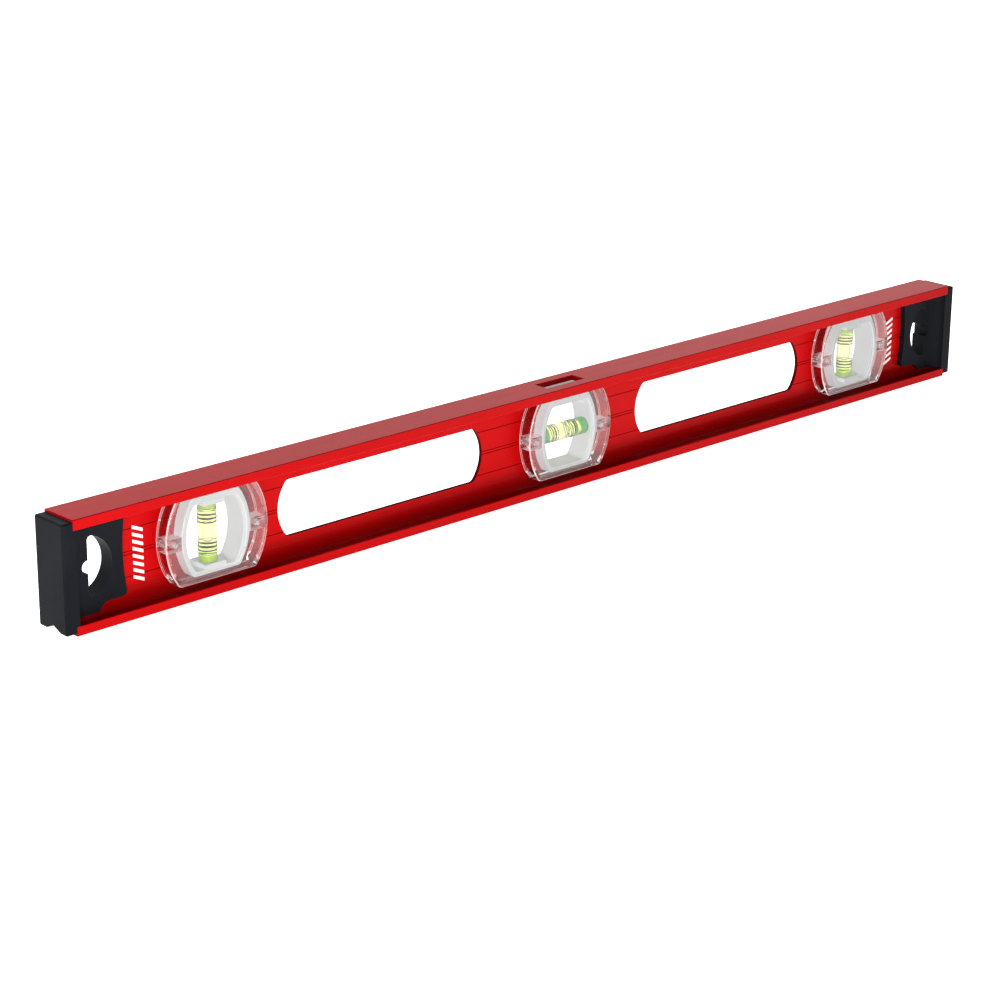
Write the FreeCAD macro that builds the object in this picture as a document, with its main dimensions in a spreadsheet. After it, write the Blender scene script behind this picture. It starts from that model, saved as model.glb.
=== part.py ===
"""A 24 inch spirit level: an aluminium I-beam with a centre vial, two plumb vials and two end caps.

+X runs along the beam, +Z is up and -Y is the front. The origin is at the middle of the underside.
Each sub-part is a PartDesign body whose sizes are bound to the "sizes" sheet.
"""

import FreeCAD, Part
import math
import os

import Sketcher
from FreeCAD import Placement, Rotation, Vector

SIZES = {
    # The whole level.
    "level_length": 609.6,
    "level_height": 53.0,
    "level_width": 21.0,
    # The beam's section: a web between a solid base flange and a top plate with down-turned lips.
    "web_thickness": 2.0,
    "base_thickness": 4.4,
    "base_fillet": 6.8,
    "base_bow": 0.65,
    "plate_thickness": 2.7,
    "plate_fillet": 1.0,
    "lip_height": 5.0,
    "lip_thickness": 1.9,
    "vee_width": 11.0,
    "vee_depth": 2.4,
    "line_depth": 0.1,
    "line_width": 0.4,
    "line_spread": 11.0,
    "line_pair": 0.7,
    "beam_edge": 0.3,
    # Heights shared by the slots, the windows and the vials.
    "middle_height": 27.4,
    "web_cut": 12.0,
    # The two handle slots.
    "slot_inner": 53.8,
    "slot_outer": 181.2,
    "slot_height": 27.4,
    "slot_bulge": 5.6,
    "slot_corner": 3.0,
    # The three vial stations.
    "station_spacing": 221.3,
    "cover_half": 28.4,
    "cover_bottom": 7.2,
    "cover_top": 49.1,
    "cover_bulge": 7.0,
    "cover_corner": 3.0,
    "cover_front": 8.5,
    "cover_plate": 1.4,
    "cover_wall": 1.8,
    "cover_relief": 4.6,
    "cover_edge": 0.7,
    "holder_half": 19.1,
    "holder_bottom": 9.8,
    "holder_top": 47.1,
    "holder_bulge": 6.2,
    "holder_corner": 2.2,
    "holder_front": 7.0,
    "holder_edge": 0.5,
    "recess_half": 17.6,
    "recess_height": 33.0,
    "recess_depth": 0.8,
    "opening_half": 15.9,
    "opening_height": 31.6,
    "opening_bulge": 5.0,
    "opening_corner": 3.0,
    "opening_bevel": 0.4,
    "seat_half": 5.8,
    "seat_height": 2.0,
    "fit_gap": 0.1,
    # The pins that join the front and the back of each station through the web.
    "pin_offset": 22.9,
    "pin_radius": 1.5,
    "boss_inner": 19.4,
    "boss_outer": 27.0,
    "boss_height": 6.4,
    # The vials. All three are alike.
    "tube_length": 33.6,
    "tube_radius": 4.4,
    "bore_end_radius": 3.3,
    "bore_middle_radius": 3.55,
    "plug_length": 5.6,
    "liquid_gap": 0.03,
    "channel_radius": 2.6,
    "bubble_radius": 2.4,
    "bubble_length": 9.8,
    "band_inner": 4.95,
    "band_pitch": 1.75,
    "band_thin": 0.4,
    "band_medium": 0.6,
    "band_thick": 0.75,
    "band_gap": 0.01,
    "band_depth": 0.08,
    # The sight window over the centre vial and the holder's collar under it.
    "sight_length": 26.0,
    "sight_width": 8.8,
    "collar_length": 29.0,
    "collar_width": 11.0,
    # The end caps.
    "cap_depth": 5.6,
    "cap_inset": 1.1,
    "cap_side_inset": 0.1,
    "cap_edge": 1.0,
    "cheek_width": 8.4,
    "cheek_reach": 37.0,
    "cheek_waist": 2.0,
    "cheek_bottom": 9.6,
    "cheek_step": 27.4,
    "cheek_foot": 21.4,
    "cheek_foot_bulge": 1.4,
    "cheek_upper_corner": 1.2,
    "cheek_lower_corner": 2.4,
    "cove_start": 7.2,
    "cove_end": 15.0,
    "cove_bulge": 2.0,
    "hang_flat": 16.6,
    "hang_reach": 12.8,
    "hang_height": 29.0,
    "hang_corner": 2.0,
    "nail_radius": 3.1,
    "core_margin": 1.4,
    "core_overlap": 0.1,
}

# How far the middle of a quarter circle stands off its chord, as a share of its radius. It stands as
# far off each of the circle's two tangents at the ends.
QUARTER_RISE = 1 - math.sqrt(0.5)

# Edges are found by their bounding boxes, to within this many millimetres.
NEAR = 0.01


class Size:
    """A length: its value in millimetres, and the sheet expression that it is bound by."""

    def __init__(self, value, text):
        self.value = float(value)
        self.text = text

    def joined(self, other, sign, value):
        return Size(value, "(" + self.text + " " + sign + " " + as_size(other).text + ")")

    def __add__(self, other):
        return self.joined(other, "+", self.value + as_size(other).value)

    def __sub__(self, other):
        return self.joined(other, "-", self.value - as_size(other).value)

    def __mul__(self, other):
        return self.joined(other, "*", self.value * as_size(other).value)

    def __truediv__(self, other):
        return self.joined(other, "/", self.value / as_size(other).value)

    def __neg__(self):
        return self * -1


def as_size(number):
    return number if isinstance(number, Size) else Size(number, "(" + repr(number) + ")")


def size(name):
    return Size(SIZES[name], "sizes." + name)


ZERO = Size(0, "0")


# The sheet and the small tools that the sub-parts share.


def make_sheet(doc):
    sheet = doc.addObject("Spreadsheet::Sheet", "sizes")
    for row, (name, value) in enumerate(SIZES.items(), start=1):
        sheet.set("A" + str(row), name)
        sheet.set("B" + str(row), str(value))
        sheet.setAlias("B" + str(row), name)
    doc.recompute()


def make_body(doc, name, x=ZERO, z=ZERO, rotation=None):
    body = doc.addObject("PartDesign::Body", name)
    body.Placement = Placement(Vector(x.value, 0, z.value), rotation or Rotation())
    body.setExpression("Placement.Base.x", x.text)
    body.setExpression("Placement.Base.z", z.text)
    return body


def make_sketch(body, name, plane, offset=ZERO):
    """A sketch on one of the body's own planes, moved along that plane's normal by offset."""
    sketch = body.newObject("Sketcher::SketchObject", body.Name + "_" + name)
    support = [item for item in body.Origin.OriginFeatures if item.Role == plane]
    sketch.AttachmentSupport = [(support[0], "")]
    sketch.MapMode = "FlatFace"
    sketch.AttachmentOffset = Placement(Vector(0, 0, offset.value), Rotation())
    sketch.setExpression("AttachmentOffset.Base.z", offset.text)
    return sketch


def bind(sketch, constraint, name, text):
    index = sketch.addConstraint(constraint)
    sketch.renameConstraint(index, name)
    sketch.setExpression("Constraints." + name, text)


def pin_point(sketch, edge, end, x, y):
    """Holds one end of an edge at x, y. A coordinate of zero is held by the sketch's axis."""
    tag = str(edge) + "_" + str(end)
    if x.text == "0":
        sketch.addConstraint(Sketcher.Constraint("PointOnObject", edge, end, -2))
    else:
        bind(sketch, Sketcher.Constraint("DistanceX", edge, end, x.value), "x" + tag, x.text)
    if y.text == "0":
        sketch.addConstraint(Sketcher.Constraint("PointOnObject", edge, end, -1))
    else:
        bind(sketch, Sketcher.Constraint("DistanceY", edge, end, y.value), "y" + tag, y.text)


def arc_through(start, finish, rise):
    """The arc from start to finish that stands rise to the right of its chord, and its radius."""
    chord = finish - start
    right = Vector(chord.y, -chord.x, 0).normalize()
    crown = (start + finish) / 2 + right * rise
    radius = (chord.Length ** 2 / 4 + rise ** 2) / (2 * abs(rise))
    centre = crown - right * math.copysign(radius, rise)
    ends = (start, finish) if rise > 0 else (finish, start)
    angles = [math.atan2(point.y - centre.y, point.x - centre.x) for point in ends]
    if angles[1] < angles[0]:
        angles[1] += 2 * math.pi
    return Part.ArcOfCircle(Part.Circle(centre, Vector(0, 0, 1), radius), angles[0], angles[1])


def draw_outline(sketch, corners):
    """Draws a closed anticlockwise outline. A corner is (x, y), or (x, y, rise) where an arc starts
    that swells outwards by rise, or inwards where rise is negative."""
    first = sketch.GeometryCount
    count = len(corners)
    ends = []
    for index, corner in enumerate(corners):
        following = corners[(index + 1) % count]
        start = Vector(corner[0].value, corner[1].value, 0)
        finish = Vector(following[0].value, following[1].value, 0)
        edge = first + index
        if len(corner) == 2:
            sketch.addGeometry(Part.LineSegment(start, finish))
            ends.append((1, 2))
        else:
            sketch.addGeometry(arc_through(start, finish, corner[2].value))
            ends.append((1, 2) if corner[2].value > 0 else (2, 1))
            bind_radius(sketch, edge, corner, following)
        pin_point(sketch, edge, ends[index][0], corner[0], corner[1])
    for index in range(count):
        following = (index + 1) % count
        link = (first + index, ends[index][1], first + following, ends[following][0])
        sketch.addConstraint(Sketcher.Constraint("Coincident", *link))


def bind_radius(sketch, edge, corner, following):
    along = following[0] - corner[0]
    across = following[1] - corner[1]
    rise = corner[2]
    sign = math.copysign(1, rise.value)
    radius = ((along * along + across * across) / 4 + rise * rise) / (rise * (2 * sign))
    bind(sketch, Sketcher.Constraint("Radius", edge, radius.value), "r" + str(edge), radius.text)


def draw_circle(sketch, x, y, radius):
    edge = sketch.GeometryCount
    sketch.addGeometry(Part.Circle(Vector(x.value, y.value, 0), Vector(0, 0, 1), radius.value))
    bind(sketch, Sketcher.Constraint("Radius", edge, radius.value), "r" + str(edge), radius.text)
    pin_point(sketch, edge, 3, x, y)


def draw_box(sketch, left, bottom, right, top):
    draw_outline(sketch, [(left, bottom), (right, bottom), (right, top), (left, top)])


def draw_barrel(sketch, middle, half_width, bottom, top, bulge):
    """A shape with a flat top and bottom whose two sides swell outwards by bulge."""
    left = middle - half_width + bulge
    right = middle + half_width - bulge
    draw_outline(sketch, [(left, bottom), (right, bottom, bulge), (right, top), (left, top, bulge)])


def extrude(body, kind, name, sketch, length, reverse=False, symmetric=False):
    """Pads or pockets a sketch, and checks that it changed the body's volume."""
    before = body.Shape.Volume if body.Tip else 0
    feature = body.newObject("PartDesign::" + kind, body.Name + "_" + name)
    feature.Profile = sketch
    feature.Length = length.value
    feature.setExpression("Length", length.text)
    feature.Reversed = reverse
    feature.SideType = "Symmetric" if symmetric else "One side"
    body.Document.recompute()
    grown = body.Shape.Volume - before
    if (grown if kind == "Pad" else -grown) < 1e-3:
        raise RuntimeError(feature.Name + " changes nothing")
    return feature


def revolve(body, name, sketch):
    """Turns a sketch round the body's own Z axis."""
    feature = body.newObject("PartDesign::Revolution", body.Name + "_" + name)
    feature.Profile = sketch
    feature.ReferenceAxis = (sketch, ["V_Axis"])
    feature.Angle = 360
    body.Document.recompute()
    return feature


def soften(body, kind, name, feature, amount, accepts):
    """Rounds (Fillet) or bevels (Chamfer) the edges whose bounding box the test accepts."""
    picked = []
    for number, edge in enumerate(feature.Shape.Edges, start=1):
        if accepts(edge.BoundBox):
            picked.append("Edge" + str(number))
    if not picked:
        raise RuntimeError(body.Name + "_" + name + " finds no edges")
    softened = body.newObject("PartDesign::" + kind, body.Name + "_" + name)
    softened.Base = (feature, picked)
    measure = "Radius" if kind == "Fillet" else "Size"
    setattr(softened, measure, amount.value)
    softened.setExpression(measure, amount.text)
    body.Document.recompute()
    return softened


def is_flat(box, axis, level=None):
    """Whether a box has no thickness along an axis, and stands at that level."""
    if getattr(box, axis + "Length") > NEAR:
        return False
    return level is None or abs(getattr(box, axis + "Min") - level.value) < NEAR


def runs_along(axis, places):
    """A test for the straight edges that run along an axis through these places across it."""
    across = "XYZ".replace(axis, "")

    def accepts(box):
        if is_flat(box, axis):
            return False
        return any(all(map(is_flat, (box, box), across, place)) for place in places)

    return accepts


def lies_at(axis, level):
    """A test for the edges in the plane where the axis is at this level."""
    return lambda box: is_flat(box, axis, level)


def round_corners(body, name, feature, corners, radius):
    """Rounds the edges that run along Y at the given x and z."""
    return soften(body, "Fillet", name, feature, radius, runs_along("Y", corners))


def barrel_corners(middle, half_width, bottom, top, bulge):
    reach = half_width - bulge
    return [(middle + reach * side, height) for side in (-1, 1) for height in (bottom, top)]


# The beam.


def web_lines(side, half_web):
    """The corners of the four fine lines along one face of the web, from the bottom up on the side
    where the outline climbs and from the top down on the other."""
    spread = size("line_spread")
    pair = size("line_pair")
    offsets = [-spread, -pair, pair, spread]
    half_line = size("line_width") / 2 * side
    floor = half_web - size("line_depth")
    corners = []
    for offset in offsets if side > 0 else reversed(offsets):
        height = size("middle_height") + offset
        corners += [(half_web * side, height - half_line), (floor * side, height),
                    (half_web * side, height + half_line)]
    return corners


def half_section(side):
    """The corners of one half of the beam's section, clear of the vee, in anticlockwise order. Two
    shallow hollows, with a ridge between them, join the web to the base flange."""
    half_web = size("web_thickness") / 2
    half_width = size("level_width") / 2
    base = size("base_thickness")
    base_fillet = size("base_fillet")
    lip_inside = half_width - size("lip_thickness")
    lip_foot = size("level_height") - size("lip_height")
    ceiling = size("level_height") - size("plate_thickness")
    plate_fillet = size("plate_fillet")
    plate_rise = plate_fillet * -QUARTER_RISE
    ridge_reach = base_fillet * QUARTER_RISE
    bow = (-size("base_bow"),)
    corners = [(half_width * side, ZERO), (half_width * side, base)]
    toe = ((half_web + base_fillet) * side, base)
    ridge = ((half_web + ridge_reach) * side, base + ridge_reach)
    heel = (half_web * side, base + base_fillet)
    upper_heel = (half_web * side, ceiling - plate_fillet)
    upper_toe = ((half_web + plate_fillet) * side, ceiling)
    lip = [(lip_inside * side, ceiling), (lip_inside * side, lip_foot),
           (half_width * side, lip_foot), (half_width * side, size("level_height"))]
    if side > 0:
        corners += [toe + bow, ridge + bow, heel] + web_lines(side, half_web)
        corners += [upper_heel + (plate_rise,), upper_toe] + lip
        return corners
    climb = lip[::-1] + [upper_toe + (plate_rise,), upper_heel] + web_lines(side, half_web)
    return climb + [heel + bow, ridge + bow, toe] + corners[::-1]


def make_beam(doc):
    beam = make_body(doc, "beam")
    half_vee = size("vee_width") / 2
    section = make_sketch(beam, "section", "YZ_Plane")
    vee = [(-half_vee, ZERO), (ZERO, size("vee_depth")), (half_vee, ZERO)]
    draw_outline(section, vee + half_section(1) + half_section(-1))
    length = size("level_length") - size("cap_depth") * 2
    profile = extrude(beam, "Pad", "extrusion", section, length, symmetric=True)
    ease_beam_edges(beam, profile)
    cut_handle_slots(beam)
    cut_vial_windows(beam)
    cut_cap_notches(beam)
    cut_sight_window(beam)
    return beam


def ease_beam_edges(beam, profile):
    """Rounds the long outer edges of the base flange and of the top plate's lips."""
    half_width = size("level_width") / 2
    lip_inside = half_width - size("lip_thickness")
    lip_foot = size("level_height") - size("lip_height")
    places = []
    for side in (-1, 1):
        for height in (ZERO, size("base_thickness"), lip_foot, size("level_height")):
            places.append((half_width * side, height))
        places.append((lip_inside * side, lip_foot))
    soften(beam, "Fillet", "long_edges", profile, size("beam_edge"), runs_along("X", places))


def cut_handle_slots(beam):
    half_width = (size("slot_outer") - size("slot_inner")) / 2
    centre = (size("slot_outer") + size("slot_inner")) / 2
    bottom = size("middle_height") - size("slot_height") / 2
    top = size("middle_height") + size("slot_height") / 2
    bulge = size("slot_bulge")
    sketch = make_sketch(beam, "slots", "XZ_Plane")
    corners = []
    for side in (-1, 1):
        draw_barrel(sketch, centre * side, half_width, bottom, top, bulge)
        corners += barrel_corners(centre * side, half_width, bottom, top, bulge)
    pocket = extrude(beam, "Pocket", "handle_slots", sketch, size("web_cut"), symmetric=True)
    round_corners(beam, "slot_corners", pocket, corners, size("slot_corner"))


def cut_vial_windows(beam):
    """Cuts a window for each holder and two holes for its joining pins."""
    gap = size("fit_gap")
    half_width = size("holder_half") + gap
    bottom = size("holder_bottom") - gap
    top = size("holder_top") + gap
    bulge = size("holder_bulge")
    sketch = make_sketch(beam, "windows", "XZ_Plane")
    corners = []
    for position in (-1, 0, 1):
        middle = size("station_spacing") * position
        draw_barrel(sketch, middle, half_width, bottom, top, bulge)
        corners += barrel_corners(middle, half_width, bottom, top, bulge)
        for side in (-1, 1):
            hole = size("pin_radius") + gap
            draw_circle(sketch, middle + size("pin_offset") * side, size("middle_height"), hole)
    pocket = extrude(beam, "Pocket", "vial_windows", sketch, size("web_cut"), symmetric=True)
    round_corners(beam, "window_corners", pocket, corners, size("holder_corner"))


def cut_cap_notches(beam):
    """Cuts the web back at both ends, so that each cap's core slides in."""
    sketch = make_sketch(beam, "notches", "XZ_Plane")
    for side in (-1, 1):
        draw_core(sketch, side, ZERO, size("level_length") / 2 + size("fit_gap"))
    extrude(beam, "Pocket", "cap_notches", sketch, size("web_cut"), symmetric=True)


def cut_sight_window(beam):
    """Cuts the window in the top plate, and room in the web below it for the holder's collar."""
    ceiling = size("level_height") - size("plate_thickness")
    half_collar = size("collar_length") / 2 + size("fit_gap")
    room = make_sketch(beam, "collar_room", "XZ_Plane")
    draw_box(room, -half_collar, size("middle_height"), half_collar, ceiling)
    extrude(beam, "Pocket", "collar_cut", room, size("web_cut"), symmetric=True)
    window = make_sketch(beam, "sight", "XY_Plane", size("level_height"))
    half_length = size("sight_length") / 2
    half_width = size("sight_width") / 2
    draw_box(window, -half_length, -half_width, half_length, half_width)
    extrude(beam, "Pocket", "sight_window", window, size("plate_thickness"))


# The end caps.


def hang_shape(side, margin):
    """The corners of the hang hole: a flat outer side, and an arc that swells inwards."""
    flat = (size("level_length") / 2 - size("hang_flat") + margin) * side
    half_height = size("hang_height") / 2 + margin
    bottom = size("middle_height") - half_height
    top = size("middle_height") + half_height
    rise = size("hang_reach") + margin * 2
    if side < 0:
        return [(flat, bottom, rise), (flat, top)]
    return [(flat, bottom), (flat, top, rise)]


def draw_core(sketch, side, gap, outer):
    """The web's notch at one end: the hang hole with a margin round it, open towards the end."""
    inner = hang_shape(side, size("core_margin") - gap)
    flat, bottom = inner[0][:2]
    top = inner[1][1]
    rise = size("hang_reach") + (size("core_margin") - gap) * 2
    if side < 0:
        draw_outline(sketch, [(-outer, bottom), (flat, bottom, rise), (flat, top), (-outer, top)])
    else:
        draw_outline(sketch, [(flat, bottom), (outer, bottom), (outer, top), (flat, top, rise)])


def mirrored(corners, side):
    """Turns corners given for the right-hand end into those of the asked end. An arc belongs to
    the corner where it starts, so it moves to the other corner when the order is reversed."""
    if side > 0:
        return corners
    flipped = []
    for index in range(len(corners) - 1, -1, -1):
        rise = corners[index - 1][2:]
        flipped.append((-corners[index][0], corners[index][1]) + rise)
    return flipped


def make_cap(doc, name, side):
    cap = make_body(doc, name)
    add_end_plate(cap, side)
    add_cheeks(cap, side)
    add_cove(cap, side)
    cut_beam_slot(cap, side)
    add_cap_core(cap, side)
    cut_hang_hole(cap, side)
    return cap


def add_end_plate(cap, side):
    inset = size("cap_inset")
    half_width = size("level_width") / 2 - size("cap_side_inset")
    half_vee = size("vee_width") / 2
    top = size("level_height") - inset
    sketch = make_sketch(cap, "end", "YZ_Plane", size("level_length") / 2 * side)
    corners = [(-half_width, inset), (-half_vee, inset), (ZERO, inset + size("vee_depth")),
               (half_vee, inset), (half_width, inset), (half_width, top), (-half_width, top)]
    draw_outline(sketch, corners)
    plate = extrude(cap, "Pad", "end_plate", sketch, size("cap_depth"), reverse=side > 0)
    long_edges = [(half_width * face, height) for face in (-1, 1) for height in (inset, top)]
    rounded = soften(cap, "Fillet", "plate_corners", plate, size("cap_edge"), runs_along("X", long_edges))
    end = size("level_length") / 2 * side
    soften(cap, "Fillet", "plate_rim", rounded, size("cap_edge"), lies_at("X", end))


def add_cheeks(cap, side):
    """The two cheeks that lie on the web's faces, drawn in one piece through the web."""
    end = size("level_length") / 2
    inner = end - size("cheek_reach")
    bottom = size("cheek_bottom")
    floor = size("base_thickness") + size("fit_gap")
    ceiling = size("level_height") - size("plate_thickness") - size("fit_gap")
    outline = [
        (end - size("cap_depth"), floor),
        (end - size("cap_depth"), ceiling),
        (inner, ceiling, -size("cheek_waist")),
        (inner, bottom),
        (end - size("cheek_step"), bottom, -size("cheek_foot_bulge")),
        (end - size("cheek_foot"), floor),
    ]
    sketch = make_sketch(cap, "cheek", "XZ_Plane")
    draw_outline(sketch, mirrored(outline, side))
    block = extrude(cap, "Pad", "cheeks", sketch, size("cheek_width"), symmetric=True)
    upper = [(inner * side, ceiling)]
    lower = [(inner * side, bottom)]
    eased = round_corners(cap, "cheek_upper_corner", block, upper, size("cheek_upper_corner"))
    round_corners(cap, "cheek_lower_corner", eased, lower, size("cheek_lower_corner"))


def add_cove(cap, side):
    """The hollow curve that joins the cheeks to the full width of the end."""
    end = size("level_length") / 2
    start = end - size("cove_start")
    finish = end - size("cove_end")
    wide = size("level_width") / 2 - size("cap_side_inset")
    narrow = size("cheek_width") / 2
    floor = size("base_thickness") + size("fit_gap")
    lip_foot = size("level_height") - size("lip_height") - size("fit_gap")
    outline = [
        (end - size("cap_depth"), -wide),
        (end - size("cap_depth"), wide),
        (start, wide, -size("cove_bulge")),
        (finish, narrow),
        (finish, -narrow, -size("cove_bulge")),
        (start, -wide),
    ]
    sketch = make_sketch(cap, "cove", "XY_Plane", floor)
    draw_outline(sketch, mirrored(outline, side))
    extrude(cap, "Pad", "coves", sketch, lip_foot - floor)


def cut_beam_slot(cap, side):
    """Frees the web, with its fillets, from the cap: the cheeks then slide on from the end."""
    gap = size("fit_gap")
    half_web = size("web_thickness") / 2 + gap
    low = size("base_thickness")
    fillet = size("base_fillet")
    ceiling = size("level_height") - size("plate_thickness")
    upper = size("plate_fillet")
    rise = fillet * -QUARTER_RISE
    upper_rise = upper * -QUARTER_RISE
    corners = [
        (half_web + fillet, low, rise),
        (half_web, low + fillet),
        (half_web, ceiling - upper, upper_rise),
        (half_web + upper, ceiling),
        (-half_web - upper, ceiling, upper_rise),
        (-half_web, ceiling - upper),
        (-half_web, low + fillet, rise),
        (-half_web - fillet, low),
    ]
    end = (size("level_length") / 2 - size("cap_depth")) * side
    sketch = make_sketch(cap, "web_slot", "YZ_Plane", end)
    draw_outline(sketch, corners)
    extrude(cap, "Pocket", "web_slot_cut", sketch, size("cheek_reach"), reverse=side < 0)


def add_cap_core(cap, side):
    """Fills the web's notch, so that the hang hole has one continuous wall."""
    sketch = make_sketch(cap, "core", "XZ_Plane")
    draw_core(sketch, side, size("fit_gap"), size("level_length") / 2 - size("cap_depth"))
    slot_width = size("web_thickness") + size("fit_gap") * 2
    extrude(cap, "Pad", "core_pad", sketch, slot_width + size("core_overlap") * 2, symmetric=True)


def cut_hang_hole(cap, side):
    """Cuts the hang hole, then the round notch in its flat side that a nail head sits in."""
    shape = hang_shape(side, ZERO)
    hole = make_sketch(cap, "hang_hole", "XZ_Plane")
    draw_outline(hole, shape)
    width = size("level_width")
    pocket = extrude(cap, "Pocket", "hang_cut", hole, width, symmetric=True)
    corners = [corner[:2] for corner in shape]
    round_corners(cap, "hang_corners", pocket, corners, size("hang_corner"))
    notch = make_sketch(cap, "nail_notch", "XZ_Plane")
    draw_circle(notch, shape[0][0], size("middle_height"), size("nail_radius"))
    extrude(cap, "Pocket", "nail_cut", notch, width, symmetric=True)


# The vial stations.


def make_cover(doc, name, x, side, under_sight):
    """A clear shell on one face of the web, with a boss for each joining pin. side is -1 in front."""
    back = size("web_thickness") / 2
    depth = size("cover_front") - back
    bottom, top, bulge = size("cover_bottom"), size("cover_top"), size("cover_bulge")
    cover = make_body(doc, name, x)
    outline = make_sketch(cover, "outline", "XZ_Plane", back * -side)
    draw_barrel(outline, ZERO, size("cover_half"), bottom, top, bulge)
    block = extrude(cover, "Pad", "block", outline, depth, reverse=side > 0)
    corners = barrel_corners(ZERO, size("cover_half"), bottom, top, bulge)
    rounded = round_corners(cover, "corners", block, corners, size("cover_corner"))
    front = size("cover_front") * side
    soften(cover, "Fillet", "front_edge", rounded, size("cover_edge"), lies_at("Y", front))
    wall = size("cover_wall")
    hollow_depth = depth - size("cover_plate")
    hollow = make_sketch(cover, "hollow", "XZ_Plane", back * -side)
    draw_barrel(hollow, ZERO, size("cover_half") - wall, bottom + wall, top - wall, bulge)
    extrude(cover, "Pocket", "hollow_cut", hollow, hollow_depth, reverse=side < 0)
    bosses = make_sketch(cover, "bosses", "XZ_Plane", back * -side)
    holes = make_sketch(cover, "holes", "XZ_Plane", back * -side)
    low = size("middle_height") - size("boss_height") / 2
    high = size("middle_height") + size("boss_height") / 2
    draw_box(bosses, -size("boss_outer"), low, -size("boss_inner"), high)
    draw_box(bosses, size("boss_inner"), low, size("boss_outer"), high)
    for direction in (-1, 1):
        place = (size("pin_offset") * direction, size("middle_height"))
        draw_circle(holes, *place, size("pin_radius") + size("fit_gap") / 2)
    extrude(cover, "Pad", "boss_pad", bosses, hollow_depth, reverse=side > 0)
    extrude(cover, "Pocket", "pin_holes", holes, hollow_depth, reverse=side < 0)
    relieve_cover(cover, side)
    if under_sight:
        cut_collar_room(cover, side)
    return cover


def relieve_cover(cover, side):
    """Takes off the lower back edge, which would meet the fillet between the web and the base."""
    back = size("web_thickness") / 2
    bottom = size("cover_bottom")
    reach = back + size("cover_relief") / 2
    below = bottom - size("cover_wall")
    above = bottom + size("cover_relief")
    corners = [(ZERO, below), (reach * side, below), (back * side, above), (ZERO, above)]
    if side < 0:
        corners = corners[::-1]
    sketch = make_sketch(cover, "relief", "YZ_Plane")
    draw_outline(sketch, corners)
    extrude(cover, "Pocket", "relief_cut", sketch, size("cover_half") * 2, symmetric=True)


def cut_collar_room(cover, side):
    """Opens the top wall of the centre station's cover round the holder's collar."""
    gap = size("fit_gap")
    half_length = size("collar_length") / 2 + gap
    half_width = size("collar_width") / 2 + gap
    sketch = make_sketch(cover, "collar_room", "XY_Plane", size("cover_top"))
    if side < 0:
        draw_box(sketch, -half_length, -half_width, half_length, ZERO)
    else:
        draw_box(sketch, -half_length, ZERO, half_length, half_width)
    extrude(cover, "Pocket", "collar_cut", sketch, size("cover_wall"))


def make_holder(doc, name, x, side, upright, under_sight):
    """Half of the white tunnel that grips the vial. The two halves meet in the web's middle plane."""
    depth = size("holder_front")
    bottom, top, bulge = size("holder_bottom"), size("holder_top"), size("holder_bulge")
    holder = make_body(doc, name, x)
    outline = make_sketch(holder, "outline", "XZ_Plane")
    draw_barrel(outline, ZERO, size("holder_half"), bottom, top, bulge)
    block = extrude(holder, "Pad", "block", outline, depth, reverse=side > 0)
    corners = barrel_corners(ZERO, size("holder_half"), bottom, top, bulge)
    rounded = round_corners(holder, "corners", block, corners, size("holder_corner"))
    soften(holder, "Fillet", "rim", rounded, size("holder_edge"), lies_at("Y", depth * side))
    if under_sight:
        add_collar(holder, side)
    cut_recess(holder, side)
    cut_tunnel(holder, side)
    if upright:
        add_seats(holder, side)
    cut_vial_grip(holder, upright)
    return holder


def add_collar(holder, side):
    """The collar that reaches up to the sight window, and the shaft down through it."""
    half_length = size("collar_length") / 2
    half_width = size("collar_width") / 2
    ceiling = size("level_height") - size("plate_thickness") - size("fit_gap")
    sketch = make_sketch(holder, "collar", "XY_Plane", size("holder_top"))
    shaft = make_sketch(holder, "shaft", "XY_Plane", ceiling)
    half_sight = size("sight_length") / 2
    half_opening = size("sight_width") / 2
    if side < 0:
        draw_box(sketch, -half_length, -half_width, half_length, ZERO)
        draw_box(shaft, -half_sight, -half_opening, half_sight, ZERO)
    else:
        draw_box(sketch, -half_length, ZERO, half_length, half_width)
        draw_box(shaft, -half_sight, ZERO, half_sight, half_opening)
    extrude(holder, "Pad", "collar_pad", sketch, ceiling - size("holder_top"))
    extrude(holder, "Pocket", "shaft_cut", shaft, ceiling - size("middle_height"))


def cut_recess(holder, side):
    """Sinks the land round the tunnel's mouth below the outer rim."""
    bottom = size("middle_height") - size("recess_height") / 2
    top = size("middle_height") + size("recess_height") / 2
    bulge = size("opening_bulge")
    sketch = make_sketch(holder, "recess", "XZ_Plane", size("holder_front") * -side)
    draw_barrel(sketch, ZERO, size("recess_half"), bottom, top, bulge)
    pocket = extrude(holder, "Pocket", "recess_cut", sketch, size("recess_depth"), reverse=side > 0)
    corners = barrel_corners(ZERO, size("recess_half"), bottom, top, bulge)
    round_corners(holder, "recess_corners", pocket, corners, size("opening_corner"))


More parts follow.
